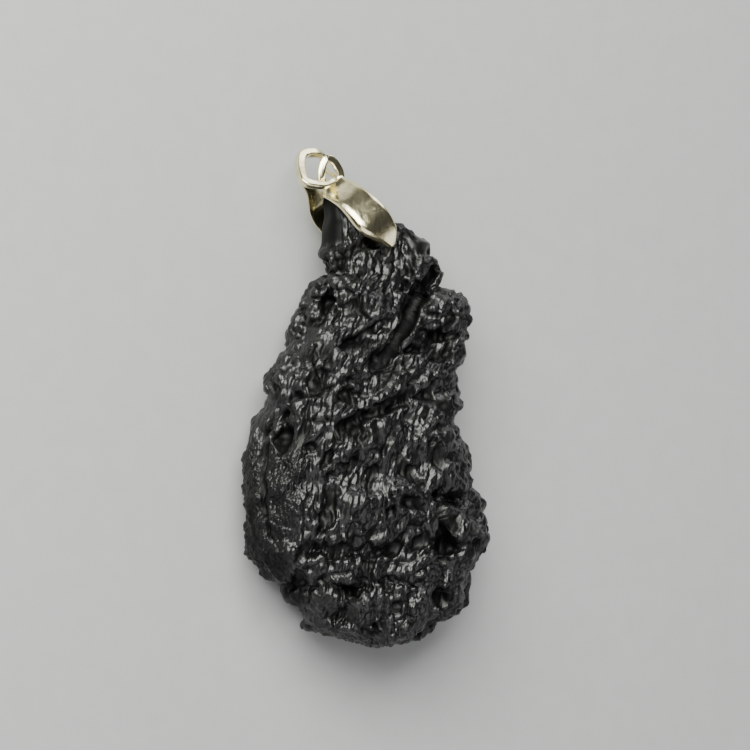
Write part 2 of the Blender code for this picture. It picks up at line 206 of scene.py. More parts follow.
# %% Coarse relief
# Furrows: points (across, Y) as the camera sees them, half width, depth.
FURROWS = [
    ([(6.0, 10.3), (4.9, 8.8), (3.5, 5.5), (1.8, 2.9), (0.3, 1.4)], 0.5, 1.5),
    ([(-2.9, -5.4), (-1.4, -4.1), (2.1, -2.9), (7.3, -1.4)], 0.6, 0.9),
    ([(-2.5, 3.0), (0.3, 4.0), (1.6, 5.2)], 0.6, 0.8),
    ([(-9.4, -2.8), (-6.0, -1.0)], 0.5, 0.6),
    ([(-6.8, 6.0), (-7.9, 4.0)], 0.6, 0.7),
    ([(-6.2, 7.6), (-3.4, 6.6)], 0.5, 0.6),
    ([(-9.0, -4.3), (-9.3, -7.4)], 0.6, 0.8),
    ([(5.0, 4.2), (9.4, 4.0)], 0.5, 0.7),
    ([(-6.2, -17.2), (-2.0, -17.6), (2.3, -17.3)], 0.6, 0.9),
    ([(6.6, -12.0), (9.0, -12.6)], 0.7, 1.3),
    ([(6.4, -16.6), (8.2, -17.2)], 0.7, 1.2),
    ([(-3.4, -21.2), (-1.2, -21.0)], 0.5, 0.8),
    ([(1.2, -20.4), (4.6, -20.8)], 0.5, 0.6)]
# Swellings: middle (across, Y), half width, half height, rise.
SWELLINGS = [
    (0.2, 9.0, 2.2, 3.4, 0.7), (7.0, 6.6, 2.0, 1.6, 0.6), (-4.5, 2.0, 2.4, 2.0, 0.5),
    (4.6, 0.6, 2.4, 1.4, 0.6), (-0.6, -5.9, 1.0, 1.4, 0.4), (5.8, -6.6, 1.8, 2.8, 0.5),
    (6.2, -14.6, 1.0, 2.2, 0.7), (-2.5, -13.0, 3.0, 2.6, 0.5), (0.0, -23.0, 3.2, 1.4, 0.5),
    (-8.0, -11.0, 1.8, 4.0, 0.3)]
CRAG_SIZE, CRAG_HEIGHT, CRAG_STEEPNESS = 4.2, 0.6, 3.0
KNOB_SIZE, KNOB_HEIGHT, KNOB_START = 1.7, 0.45, (7, 3, 5)
SLANT = 0.5                    # sideways run of the crags for each millimetre along the stone
SEEN = (0.1, 0.45)             # how far a face has to look at the camera to carry the marks
TOP_FADE, BOTTOM_FADE = (0, 2.5), (-1.0, 1.5)      # where the crags begin at the two ends
HOLE = (-4.9, 13.45)
HOLE_RADIUS = 1.0
CALM_RADIUS, CALM_EDGE = 5.6, 2.0
CALM_SINK = 0.25               # share of the hollows that is left beside the hole


def smooth_step(value, low, high):
    share = np.clip((value - low) / (high - low), 0, 1)
    return share * share * (3 - 2 * share)


def noise_at(points):
    """Soft noise at an array of points, about one unit in grain."""
    flat = points.reshape(-1, 3)
    values = [noise.noise(p, noise_basis="PERLIN_ORIGINAL") for p in flat]
    return np.array(values).reshape(points.shape[:-1])


def distance_to_line(u, v, line, taper=0.0):
    """Distance of the points (u, v) from a bent line, which counts as more near tapered ends."""
    nearest = np.full(u.shape, np.inf)
    spans = len(line) - 1
    for span, ((u0, v0), (u1, v1)) in enumerate(zip(line, line[1:])):
        du, dv = u1 - u0, v1 - v0
        share = np.clip(((u - u0) * du + (v - v0) * dv) / (du * du + dv * dv), 0, 1)
        to_end = 2 * (span + share) / spans - 1
        width = 1 - taper * to_end ** 4
        nearest = np.minimum(nearest, np.hypot(u - u0 - share * du, v - v0 - share * dv) / width)
    return nearest


def coarse_relief(points, outward):
    across, y = points @ across_way, points[..., 1]
    seen = smooth_step(outward @ camera_way, *SEEN)
    rise = np.zeros(across.shape)
    for line, half_width, depth in FURROWS:
        rise -= seen * depth * np.exp(-(distance_to_line(across, y, line) / half_width) ** 2)
    for middle_u, middle_v, half_u, half_v, height in SWELLINGS:
        distance = np.hypot((across - middle_u) / half_u, (y - middle_v) / half_v)
        rise += seen * height * np.exp(-distance ** 2)
    slanted = np.stack([across - SLANT * y, y + SLANT * across, points[..., 2]], axis=-1)
    crag = np.tanh(CRAG_STEEPNESS * noise_at(slanted / CRAG_SIZE))
    knob = noise_at(slanted / KNOB_SIZE + KNOB_START)
    ends = smooth_step(TOP - y, *TOP_FADE) * smooth_step(y - BOTTOM, *BOTTOM_FADE)
    rise += ends * (CRAG_HEIGHT * crag + KNOB_HEIGHT * knob)
    from_hole = np.hypot(points[..., 0] - HOLE[0], y - HOLE[1])
    calm = smooth_step(from_hole, CALM_RADIUS - CALM_EDGE, CALM_RADIUS)
    return rise * calm + np.minimum(rise, 0) * CALM_SINK * (1 - calm)


rise = coarse_relief(places, outward)
places = places + outward * rise[..., None]
print("coarse relief from", round(float(rise.min()), 2), "to", round(float(rise.max()), 2), "mm")

# %% [markdown]
# The fine relief is what makes the glass glitter. Slow etching has cut it into rows of
# small pillow-shaped knobs, longer than wide, that lean to the right, with deep narrow
# grooves between them. Blender's own cell noise scatters its cells too freely for that, so
# the knobs get a cell pattern of their own: every cell of a stretched grid holds one
# middle, which is shaken less sideways than lengthwise and in depth, so that rows remain.
# The gap between the nearest and the second nearest middle is nought in a groove and grows
# towards the top of a knob, and each knob is tilted a little its own way.

# %% Knob pattern
KNOB_SHAKE = np.array([0.85, 0.7, 0.9])       # lengthwise, sideways and deep
KNOB_ROUNDNESS = 0.7                          # how far up a groove's sides its curve reaches
KNOB_DOME = 0.5                               # share of a dome in the knobs' tops
KNOB_TILT = 0.9                               # how much the knobs differ in their slope
SCATTER_STEP = 50                             # between the numbers for the middle and the tilt
SCATTER_MIX = np.array([[127.1, 269.5, 113.5], [311.7, 183.3, 271.9], [74.7, 246.1, 124.6]])
SCATTER_GAIN = 43758.5453                     # large, so that only the last digits are left


def turned(points, lean, long_size, wide_size, deep_size):
    """Coordinates lengthwise, sideways and deep of a pattern that leans to the right."""
    across, y, deep = points @ across_way, points[..., 1], points @ camera_way
    along = across * math.sin(lean) + y * math.cos(lean)
    aside = across * math.cos(lean) - y * math.sin(lean)
    return np.stack([along / long_size, aside / wide_size, deep / deep_size], axis=-1)


def scattered(cells, salt):
    """Three repeatable numbers from 0 to 1 for each whole-numbered cell."""
    return np.abs(np.sin(cells @ SCATTER_MIX + salt) * SCATTER_GAIN) % 1


def knobs(points, lean, long_size, wide_size, salt):
    """Knobs of the given size: 0 in the grooves between them and about 1 on their tops."""
    at = turned(points, lean, long_size, wide_size, (long_size + wide_size) / 2)
    home = np.floor(at)
    nearest = np.full(at.shape[:-1], np.inf)
    second = nearest.copy()
    tilt = np.zeros(nearest.shape)
    for step in np.ndindex(3, 3, 3):
        cell = home + np.array(step) - 1
        offset = at - cell - 0.5 - KNOB_SHAKE * (scattered(cell, salt) - 0.5)
        distance = np.linalg.norm(offset, axis=-1)
        closer = distance < nearest
        second = np.where(closer, nearest, np.minimum(second, distance))
        own_tilt = (offset * (scattered(cell, salt + SCATTER_STEP) - 0.5)).sum(axis=-1)
        tilt = np.where(closer, own_tilt, tilt)
        nearest = np.where(closer, distance, nearest)
    groove = np.sin(np.clip((second - nearest) / KNOB_ROUNDNESS, 0, 1) * math.pi / 2)
    dome = 1 - np.clip(nearest, 0, 1) ** 2
    return (groove + KNOB_DOME * (dome - groove)) * (1 + KNOB_TILT * tilt)


sample = knobs(places[::10, ::10], 0.0, 1.0, 1.0, 1)
print("knob pattern from", round(float(sample.min()), 2), "to", round(float(sample.max()), 2))

# %% [markdown]
# Where the knobs are coarse or fine, stand in long ribs or fade into satin follows the
# real stone, so each kind has a short list of spots. Single ridges, cuts and pockets are
# listed one by one. A drawn relief picture could do the same, but a list of places is easier
# to read and to change. All of them are given as the camera sees them.

# %% Kinds of knobs and single marks
KNOB_LEAN = math.radians(16)
# Kinds of knobs: length, width, height, and the spots (across, Y, half width, half height).
MIDDLING = (1.2, 0.68, 0.46)
COARSE = (1.8, 1.05, 0.6)
RIBS = (2.8, 0.75, 0.46)
GRAIN = (0.6, 0.48, 0.36)
COARSE_SPOTS = [
    (7.2, 5.2, 2.6, 3.4), (9.8, -15.8, 2.4, 3.4), (6.0, -8.8, 2.4, 3.0), (-5.8, -19.5, 2.0, 1.3),
    (-1.0, -23.8, 5.0, 1.8)]
RIB_SPOTS = [
    (0.0, 10.0, 2.0, 3.0), (-1.2, -18.7, 4.2, 1.1), (4.0, -1.2, 2.6, 1.2), (-11.2, -8.0, 1.4, 5.0),
    (4.8, -9.0, 1.0, 2.0)]
GRAIN_SPOTS = [(-3.4, 4.6, 3.2, 1.5), (5.4, -4.8, 2.2, 1.0), (-9.6, -18.4, 1.6, 2.0)]
# Glassy spots stay smooth: the neck's flat side, the right shoulder and a few facets.
GLASSY_SPOTS = [
    (-4.2, 16.0, 1.9, 3.4), (6.6, -2.8, 1.5, 0.7), (6.2, -15.2, 0.6, 1.6), (0.1, -5.6, 0.6, 1.0),
    (4.6, 13.4, 1.4, 1.6), (-2.4, -23.4, 0.8, 1.6)]
# Steep faces where shade is painted on, with a darker and duller shader, as if they mirrored nothing
# bright.
PAINTED_SHADE_SPOTS = [
    (4.3, 7.3, 0.9, 1.6), (7.2, -16.0, 0.6, 3.0), (-8.0, -21.4, 1.6, 1.8), (-4.6, 7.2, 0.5, 1.3),
    (-10.4, -18.8, 2.2, 2.2), (-11.8, -14.5, 0.6, 3.0),
    (-5.2, -1.9, 1.2, 0.4), (3.9, -12.9, 1.0, 0.7), (-8.9, -7.0, 0.5, 1.8)]
# Ridges: points (across, Y), half width, rise.
RIDGES = [
    ([(3.1, 13.3), (3.8, 11.0), (4.5, 9.2)], 0.28, 0.4),
    ([(6.1, -14.1), (5.2, -16.8)], 0.4, 0.5),
    ([(-3.4, -21.6), (-2.1, -23.5), (-2.1, -25.2)], 0.45, 0.45),
    ([(-1.4, -23.8), (0.3, -24.6)], 0.35, 0.35),
    ([(5.1, -21.8), (6.3, -24.3)], 0.35, 0.4),
    ([(6.4, -6.6), (4.7, -9.8)], 0.3, 0.35),
    ([(5.1, -6.4), (4.4, -8.4)], 0.25, 0.3)]
# Cuts with steep smooth sides: points (across, Y), half width, depth.
CUTS = [
    ([(6.2, 10.5), (4.9, 8.8), (3.6, 5.6), (1.9, 3.0), (0.4, 1.5)], 0.75, 0.9),
    ([(6.2, -12.0), (6.9, -14.2), (7.1, -16.8), (6.6, -19.0)], 0.5, 1.0),
    ([(-2.6, -5.0), (-1.2, -4.0), (2.1, -2.9)], 0.32, 0.5),
    ([(-8.8, -2.6), (-4.1, -1.0)], 0.3, 0.4),
    ([(0.9, 5.6), (-1.7, 3.4), (-4.1, 2.8)], 0.25, 0.5),
    ([(-2.2, 6.9), (-0.3, 5.4)], 0.15, 0.35),
    ([(3.1, 2.3), (4.0, 3.0), (5.1, 2.1)], 0.25, 0.5),
    ([(-10.2, -4.5), (-11.2, -8.0), (-10.9, -12.0), (-10.3, -16.2)], 0.3, 0.5),
    ([(-3.3, -21.0), (-1.4, -21.8)], 0.25, 0.5)]
CUT_TAPER = 0.7
# Pockets: middle (across, Y), half width, half height, depth.
POCKETS = [
    (3.8, -12.9, 0.9, 0.6, 0.8), (-4.6, 7.2, 0.5, 1.1, 0.7), (-8.9, -6.0, 0.8, 1.2, 0.8),
    (-6.2, -7.1, 0.5, 0.4, 0.5), (6.6, -5.2, 0.45, 0.45, 0.5),
    (6.8, -13.6, 0.5, 0.4, 0.6), (1.8, -13.5, 0.6, 0.4, 0.6), (6.4, -16.9, 0.5, 0.4, 0.7),
    (7.7, -17.1, 0.55, 0.55, 0.7), (10.1, -16.8, 0.5, 0.35, 0.5), (-5.4, -15.3, 0.5, 0.5, 0.5),
    (-2.6, -21.3, 1.0, 0.3, 0.5), (7.0, -22.2, 1.1, 0.9, 0.7), (6.1, 6.0, 0.8, 0.25, 0.5),
    (6.4, 3.9, 1.2, 0.4, 0.6), (4.1, 2.6, 1.0, 0.35, 0.5), (6.3, 1.6, 0.7, 0.25, 0.5),
    (-5.8, 5.4, 1.2, 0.5, 0.6), (-4.6, 7.3, 1.1, 0.25, 0.5), (-4.9, 0.5, 0.8, 0.4, 0.7),
    (-2.2, -0.4, 0.6, 0.3, 0.6), (-3.3, -1.9, 0.5, 0.4, 0.5), (-5.4, -4.4, 1.3, 0.2, 0.4),
    (-4.1, -9.9, 0.6, 0.25, 0.4), (0.6, -7.3, 0.5, 0.6, 0.5), (-2.8, -8.6, 1.1, 0.2, 0.4)]
print(len(RIDGES), "ridges,", len(CUTS), "cuts and", len(POCKETS), "pockets")

# %% [markdown]
# Between the spots a slow noise mixes the kinds of knobs, also round the sides and the
# back. Ledges are grooves that rise gently to the right, with a band of knobs between each
# two, and gaps are patches that the etching has cut deeper. Beside the rise, each vertex
# gets how much shade is painted on it there (the deep layer), and how glassy and satin the
# surface is, which the finish reads later.

# %% Fine relief
# Each pattern starts in a part of the noise of its own.
BEND_STARTS, MIX_START, WAVE_START, PATCH_START, GAP_START = (11, 23, 37), 17, 5, 29, 41
BEND, BEND_SIZE = 0.5, 2.6     # how far the patterns are pushed about, and over what distance
MIX_SIZE, MIX_EDGE = 5.0, (0.12, 0.3)
LEDGE_SPOTS = [(0.5, -1.6, 8.0, 2.4), (7.2, 4.6, 2.6, 3.2), (-1.0, -20.5, 8.0, 4.0)]
LEDGE_EXTRA = 1.2
LEDGE_SPACING, LEDGE_RISE, LEDGE_WIDTH, LEDGE_DEPTH = 1.7, 0.3, 0.1, 0.18
LEDGE_WAVE, LEDGE_WAVE_SIZE = 0.9, 3.4
LEDGE_PATCH_SIZE, LEDGE_PATCH_EDGE = 3.1, (-0.1, 0.15)
GAP_SIZE, GAP_EDGE, GAP_DEPTH = (2.3, 1.4, 1.7), (0.12, 0.38), 0.5
CUT_SMOOTHING = 0.6            # share of the knobs that a cut wipes away
NECK_SIDE_LEFT, NECK_SIDE_ABOVE = (2.8, 3.4), (12.0, 13.5)
FLANK_EDGE, FLANK_LEAN, FLANK_MIDDLE = -7.2, 0.3, -12.0
FLANK_TOP, FLANK_BOTTOM = -6.5, -20.0
FLANK_SIDE_FADE, FLANK_TOP_FADE, FLANK_BOTTOM_FADE = (-0.8, 0.8), (-1.0, 2.0), (-1.5, 1.5)
# How far a face has to look at the camera for the knobs' spots, the glassy and the satin ones.
SPOTS_SEEN, GLASSY_SEEN, FLANK_SEEN = (-0.1, 0.3), (-0.4, 0), (-0.45, -0.05)
POCKET_SHARPNESS = 3
SKIN_DROP = 0.15               # about the middle of the relief, taken off to keep the size
FADE_ROWS = 6                  # rows over which the relief fades out at the two ends
# How strongly shade is painted on in gaps, on the neck's side, on the satin flank and on the steep
# spots.
GAP_PAINTED_SHADE, NECK_PAINTED_SHADE, SATIN_PAINTED_SHADE, SPOT_PAINTED_SHADE = 0.5, 0.62, 0.34, 0.55


def in_spots(across, y, spots, sharpness=4):
    """1 inside the spots (across, Y, half width, half height), falling to 0 outside."""
    share = np.zeros(across.shape)
    for middle_u, middle_v, half_u, half_v in spots:
        distance = np.hypot((across - middle_u) / half_u, (y - middle_v) / half_v)
        share = np.maximum(share, np.exp(-distance ** sharpness))
    return share


def satin_flank(points, normal):
    """1 on the worn left flank, as far round as the camera sees it, and 0 elsewhere."""
    across, y = points @ across_way, points[..., 1]
    faced = smooth_step(normal @ camera_way, *FLANK_SEEN)
    edge = FLANK_EDGE + FLANK_LEAN * (y - FLANK_MIDDLE)
    beside = smooth_step(edge - across, *FLANK_SIDE_FADE)
    below = smooth_step(FLANK_TOP - y, *FLANK_TOP_FADE)
    above = smooth_step(y - FLANK_BOTTOM, *FLANK_BOTTOM_FADE)
    return faced * beside * below * above


def knob_relief(points, bent, seen, satin):
    """Rise of the knobs of all kinds, and the share of grain among them."""
    across, y = points @ across_way, points[..., 1]
    mix = noise_at(points / MIX_SIZE + MIX_START)
    coarse = np.maximum(seen * in_spots(across, y, COARSE_SPOTS), smooth_step(mix, *MIX_EDGE))
    ribs = np.maximum(seen * in_spots(across, y, RIB_SPOTS), smooth_step(-mix, *MIX_EDGE))
    grain = np.maximum(seen * in_spots(across, y, GRAIN_SPOTS), satin)
    rise = MIDDLING[2] * knobs(bent, KNOB_LEAN, *MIDDLING[:2], 1)
    rise += coarse * (COARSE[2] * knobs(bent, KNOB_LEAN, *COARSE[:2], 2) - rise)
    rise += ribs * (RIBS[2] * knobs(bent, KNOB_LEAN, *RIBS[:2], 3) - rise)
    rise += grain * (GRAIN[2] * knobs(points, KNOB_LEAN, *GRAIN[:2], 4) - rise)
    return rise, grain


def ledge_relief(points, seen, grain):
    """How far the ledges sink in."""
    across, y = points @ across_way, points[..., 1]
    wave = LEDGE_WAVE * noise_at(points / LEDGE_WAVE_SIZE + WAVE_START)
    row = (y - LEDGE_RISE * across) / LEDGE_SPACING + wave
    to_ledge = np.abs((row + 0.5) % 1 - 0.5) / LEDGE_WIDTH
    patch = noise_at(points / LEDGE_PATCH_SIZE + PATCH_START)
    ledged = smooth_step(patch, *LEDGE_PATCH_EDGE) * (1 - grain)
    ledged += LEDGE_EXTRA * seen * in_spots(across, y, LEDGE_SPOTS)
    return ledged * LEDGE_DEPTH * np.exp(-to_ledge ** 2)


def along_line(across, y, line, half_width):
    """1 on a bent line, falling to 0 beside it, and narrower towards its ends."""
    return np.exp(-(distance_to_line(across, y, line, CUT_TAPER) / half_width) ** 2)


def fine_relief(points, normal):
    """Rise of the fine relief, the painted shade, and how glassy and satin the surface is, from 0 to 1.
    """
    facing = normal @ camera_way
    seen = smooth_step(facing, *SPOTS_SEEN)
    push = np.stack([noise_at(points / BEND_SIZE + start) for start in BEND_STARTS], axis=-1)
    bent = points + BEND * push
    satin = satin_flank(points, normal)
    rise, grain = knob_relief(points, bent, seen, satin)
    rise -= ledge_relief(points, seen, grain)
    gap = smooth_step(noise_at(turned(bent, KNOB_LEAN, *GAP_SIZE) + GAP_START), *GAP_EDGE)
    gap *= 1 - grain
    rise -= GAP_DEPTH * gap
    across, y = bent @ across_way, bent[..., 1]
    for line, half_width, height in RIDGES:
        rise += seen * height * along_line(across, y, line, half_width)
    neck_side = smooth_step(-across, *NECK_SIDE_LEFT) * smooth_step(y, *NECK_SIDE_ABOVE)
    glassy = smooth_step(facing, *GLASSY_SEEN) * in_spots(across, y, GLASSY_SPOTS)
    glassy = np.maximum(neck_side, glassy)
    rise *= 1 - glassy
    # Painted shade: gaps, the neck's side, the satin flank and the steep spots are darkened by the
    # finish.
    deep = np.maximum(GAP_PAINTED_SHADE * gap * (1 - glassy), NECK_PAINTED_SHADE * neck_side)
    deep = np.maximum(deep, SATIN_PAINTED_SHADE * satin)
    deep = np.maximum(deep, SPOT_PAINTED_SHADE * seen * in_spots(across, y, PAINTED_SHADE_SPOTS))
    # Cuts and pockets sink in, and shade is painted into them too.
    for line, half_width, depth in CUTS:
        inside = seen * along_line(across, y, line, half_width)
        rise = rise * (1 - CUT_SMOOTHING * inside) - depth * inside
        deep = np.maximum(deep, inside)
    for pocket in POCKETS:
        inside = seen * in_spots(across, y, [pocket[:4]], POCKET_SHARPNESS)
        rise -= pocket[4] * inside
        deep = np.maximum(deep, inside)
    return rise - SKIN_DROP, deep, glassy, satin


def grid_normals(places):
    """Outward directions of the grid as it stands."""
    around = np.roll(places, -1, axis=1) - np.roll(places, 1, axis=1)
    down = np.gradient(places, axis=0)
    normal = np.cross(around, down)
    return normal / (np.linalg.norm(normal, axis=2, keepdims=True) + 1e-9)


normal = grid_normals(places)
still_outward = float((normal * outward).sum(axis=2).mean())
print("the relief's normals look outward by", round(still_outward, 2), "on average")
fine, deep, glassy, satin = fine_relief(places, normal)
rows = np.arange(ROWS)
ends = smooth_step(rows, 0, FADE_ROWS) * smooth_step(ROWS - 1 - rows, 0, FADE_ROWS)
fine = fine * ends[:, None]
places = places + normal * fine[..., None]
places[..., 2] = np.maximum(places[..., 2], 0)
print("fine relief from", round(float(fine.min()), 2), "to", round(float(fine.max()), 2), "mm")

# %% [markdown]
# The grid becomes one closed mesh, and the hole is drilled through it with a boolean,
# which leaves a crisp round edge such as a real drill leaves in glass.

# %% Stone mesh
DRILL_SIDES, DRILL_DEPTH = 48, 12
HOLLOW_DEPTH = 0.3             # relief this far down counts as fully hollow


def tube_faces(rows, around, closed=False):
    """Faces of a tube of rows, with its two end faces unless it closes on itself."""
    faces = []
    for row in range(rows if closed else rows - 1):
        here, there = row * around, (row + 1) % rows * around
        for step in range(around):
            after = (step + 1) % around
            faces.append((here + step, here + after, there + after, there + step))
    if not closed:
        faces.append(tuple(range(around)))
        faces.append(tuple((rows - 1) * around + step for step in range(around)))
    return faces


def mesh_object(name, vertices, faces):
    """A closed, smooth-shaded object from vertices in the stone's millimetres."""
    mesh = bpy.data.meshes.new(name)
    shifted = (np.asarray(vertices, float) - (*CENTRE, 0)) * MM
    mesh.from_pydata(shifted.tolist(), [], faces)
    shape = bmesh.new()
    shape.from_mesh(mesh)
    bmesh.ops.recalc_face_normals(shape, faces=shape.faces)
    shape.to_mesh(mesh)
    shape.free()
    mesh.shade_smooth()
    made = bpy.data.objects.new(name, mesh)
    bpy.context.scene.collection.objects.link(made)
    return made


def combine(target, tool, operation):
    """Join a tool object to the target, or cut it out, and remove the tool."""
    modifier = target.modifiers.new("combine", "BOOLEAN")
    modifier.operation = operation
    modifier.solver = "EXACT"
    modifier.object = tool
    bpy.context.view_layer.objects.active = target
    bpy.ops.object.modifier_apply(modifier=modifier.name)
    bpy.data.objects.remove(tool, do_unlink=True)


stone = mesh_object("stone", places.reshape(-1, 3), tube_faces(ROWS, SPOKES))
hollow = np.clip(-fine / HOLLOW_DEPTH, 0, 1)
# The deep layer carries where shade is painted on; the others carry earth, satin and glassy skin.
layers = {"hollow": hollow, "satin": satin, "glassy": glassy, "deep": deep}
for name, values in layers.items():
    layer = stone.data.attributes.new(name, "FLOAT", "POINT")
    layer.data.foreach_set("value", values.ravel().astype(np.float32))
drill_turns = np.linspace(0, 2 * np.pi, DRILL_SIDES, endpoint=False)
drill = [(HOLE[0] + HOLE_RADIUS * math.cos(t), HOLE[1] + HOLE_RADIUS * math.sin(t), z)
         for z in (0, DRILL_DEPTH) for t in drill_turns]
combine(stone, mesh_object("drill", drill, tube_faces(2, DRILL_SIDES)), "DIFFERENCE")
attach(stone, "stone")
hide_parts("tektite")
print("stone has", sum(len(f.vertices) - 2 for f in stone.data.polygons), "triangles")

# %% [markdown]
# The bail's halves are cast. Each leaf is a row of flattened sections along a middle line.
# Its outer face has a round bevel on the left, a crest, and a broad face that falls to the
# right. The ring and the eyelet are loops of flat wire. The leaves and wires are listed
# in the bail's own directions, across it and along it from the hole, because it hangs
# slanted on the stone.

# %% Sizes of the bail
SWING = math.radians(33)
PEG_RADIUS = 0.38
FRONT_PEG_END, BACK_PEG_END = 6.2, 5.7
# Leaves: (across the bail, along it from the hole, half width, Z of the middle, half thickness).
FRONT_LEAF = [
    (0.86, -1.38, 0.12, 9.45, 0.2), (0.85, -1.2, 0.36, 9.5, 0.32), (0.82, -0.6, 0.85, 9.65, 0.46),
    (0.74, 0.1, 1.3, 9.8, 0.56), (0.5, 0.8, 1.62, 9.9, 0.62), (0.28, 1.5, 1.86, 9.95, 0.66),
    (0.14, 2.2, 1.97, 9.9, 0.66), (0.08, 3.0, 1.98, 9.65, 0.66), (0.05, 4.0, 1.86, 9.15, 0.62),
    (0.04, 5.0, 1.74, 8.3, 0.56), (-0.04, 5.8, 1.72, 7.35, 0.48), (-0.16, 6.3, 1.66, 6.7, 0.42),
    (-0.05, 6.75, 1.25, 6.25, 0.38)]
BACK_LEAF = [
    (0.35, -1.35, 0.25, 2.6, 0.16), (0.3, -0.9, 0.75, 2.5, 0.26), (0.25, 0.2, 1.3, 2.35, 0.36),
    (0.1, 1.8, 1.7, 2.2, 0.44), (-0.1, 3.2, 1.85, 2.25, 0.46), (-0.3, 4.5, 1.75, 2.7, 0.46),
    (-0.85, 5.5, 1.35, 3.6, 0.46), (-1.75, 6.7, 0.8, 5.0, 0.46), (-2.5, 7.8, 0.6, 6.4, 0.44),
    (-2.9, 8.6, 0.55, 7.1, 0.4)]
# Ring: (across, along, Z, half width of the wire). Eyelet: (across, along).
RING = [
    (-3.05, 8.85, 7.3, 0.46), (-2.4, 8.0, 7.7, 0.38), (-1.5, 7.4, 7.85, 0.32),
    (-0.5, 7.25, 7.65, 0.29), (0.1, 7.35, 7.0, 0.26), (0.4, 7.6, 6.15, 0.26),
    (0.7, 8.0, 5.15, 0.28), (1.15, 8.6, 4.5, 0.32), (1.4, 9.15, 4.4, 0.36),
    (0.9, 9.8, 4.5, 0.42), (0.0, 10.3, 4.6, 0.46), (-0.8, 10.45, 4.9, 0.48),
    (-1.5, 10.2, 5.4, 0.48), (-2.3, 9.7, 6.2, 0.48)]
EYELET_Z, EYELET_RADIUS = 6.15, 0.4
EYELET = [
    (-0.2, 6.65), (-0.75, 7.0), (-0.8, 7.6), (-0.35, 8.3), (0.35, 8.9), (0.95, 9.0),
    (1.35, 8.5), (1.45, 7.8), (1.4, 7.1), (1.1, 6.6), (0.45, 6.4)]
# Where the flat faces of the wires look: across, along and up.
RING_FACE, EYELET_FACE = (0.33, 0.5, 0.8), (-0.12, 0.38, 0.92)
RING_FLATNESS, EYELET_FLATNESS = 0.9, 0.8      # thickness of the wire against its width
LEAF_AROUND, WIRE_AROUND, PEG_AROUND = 56, 24, 24
LEAF_STEPS, WIRE_STEPS = 6, 8                  # steps of the smooth curve between two rows
WIRE_SQUARENESS = 4.5
CREST = -0.6           # where the crest runs across the leaf, from -1 left to 1 right
FAR_LIFT = 0.6         # height of the broad face's right edge against the crest
FALL_BEND = 1.3        # how late the broad face starts to fall
ROUNDING, ROUNDING_POWER = 0.2, 2.5      # share of the broad face that rounds off at its edge
INNER_LIFT, INNER_POWER = 0.55, 4        # depth of the inner side against the outer one
print("bail is", round(FRONT_LEAF[-1][1] - FRONT_LEAF[0][1], 1), "mm long without its ring")

# %% [markdown]
# A leaf could be pushed out of a plate and smoothed by subdivision, but its crest and bevel
# would then soften too. Here every point of a section is worked out from its side, so one
# short formula for the outer face gives both. A wire's sections are rounded squares. Their
# flat sides keep looking one way all round the loop, as far as the run of the wire lets them.

# %% Curves, leaves and wires


def bail_place(across, along, z):
    """Place of a point given across the bail and along it from the hole."""
    cosine, sine = math.cos(SWING), math.sin(SWING)
    return (HOLE[0] + across * cosine - along * sine, HOLE[1] + across * sine + along * cosine, z)


def curve_through(points, steps, closed):
    """Points of a smooth curve through the given ones."""
    points = np.array(points, float)
    count = len(points)
    curve = []
    for index in range(count if closed else count - 1):
        places_near = np.arange(index - 1, index + 3)
        near = places_near % count if closed else np.clip(places_near, 0, count - 1)
        before, start, end, after = points[near]
        for step in range(steps):
            t = step / steps
            curve.append(0.5 * (2 * start + (end - before) * t
                                + (2 * before - 5 * start + 4 * end - after) * t * t
                                + (3 * start - before - 3 * end + after) * t ** 3))
    if not closed:
        curve.append(points[-1])
    return curve


def outer_lift(side):
    """Height of a leaf's outer face at a side from -1 (left) to 1 (right)."""
    if side < CREST:
        return math.sqrt(1 - ((CREST - side) / (1 + CREST)) ** 2)
    fall = (side - CREST) / (1 - CREST)
    rounding = max(fall - (1 - ROUNDING), 0) / ROUNDING
    edge = math.sqrt(1 - min(rounding, 1) ** ROUNDING_POWER)
    return (1 - (1 - FAR_LIFT) * fall ** FALL_BEND) * edge


def leaf(name, rows, outer_side):
    """A leaf with its bevelled face on its outer side (1 for up, -1 for down)."""
    vertices = []
    rows = curve_through(rows, LEAF_STEPS, closed=False)
    for across, along, half_width, z, half_thick in rows:
        for turn in np.linspace(0, 2 * np.pi, LEAF_AROUND, endpoint=False):
            side = math.cos(turn)
            outer = math.sin(turn) * outer_side > 0
            inner_lift = -INNER_LIFT * math.sqrt(1 - side ** INNER_POWER)
            lift = outer_lift(side) if outer else inner_lift
            height = z + half_thick * lift * outer_side
            vertices.append(bail_place(across + half_width * side, along, height))
    return mesh_object(name, vertices, tube_faces(len(rows), LEAF_AROUND))


def wire_loop(name, points, flatness, face_way):
    """A closed loop of flat wire through points (across, along, Z, half width)."""
    curve = curve_through(points, WIRE_STEPS, closed=True)
    spots = np.array([p[:3] for p in curve])
    ahead = np.roll(spots, -1, axis=0) - np.roll(spots, 1, axis=0)
    ahead /= np.linalg.norm(ahead, axis=1, keepdims=True)
    vertices = []
    for spot, way, point in zip(spots, ahead, curve):
        sideways = np.cross(way, face_way)
        sideways /= np.linalg.norm(sideways)
        upward = np.cross(sideways, way)
        for turn in np.linspace(0, 2 * np.pi, WIRE_AROUND, endpoint=False):
            side = signed_power(math.cos(turn), 2 / WIRE_SQUARENESS)
            lift = flatness * signed_power(math.sin(turn), 2 / WIRE_SQUARENESS)
            vertices.append(bail_place(*(spot + point[3] * (side * sideways + lift * upward))))
    return mesh_object(name, vertices, tube_faces(len(spots), WIRE_AROUND, closed=True))


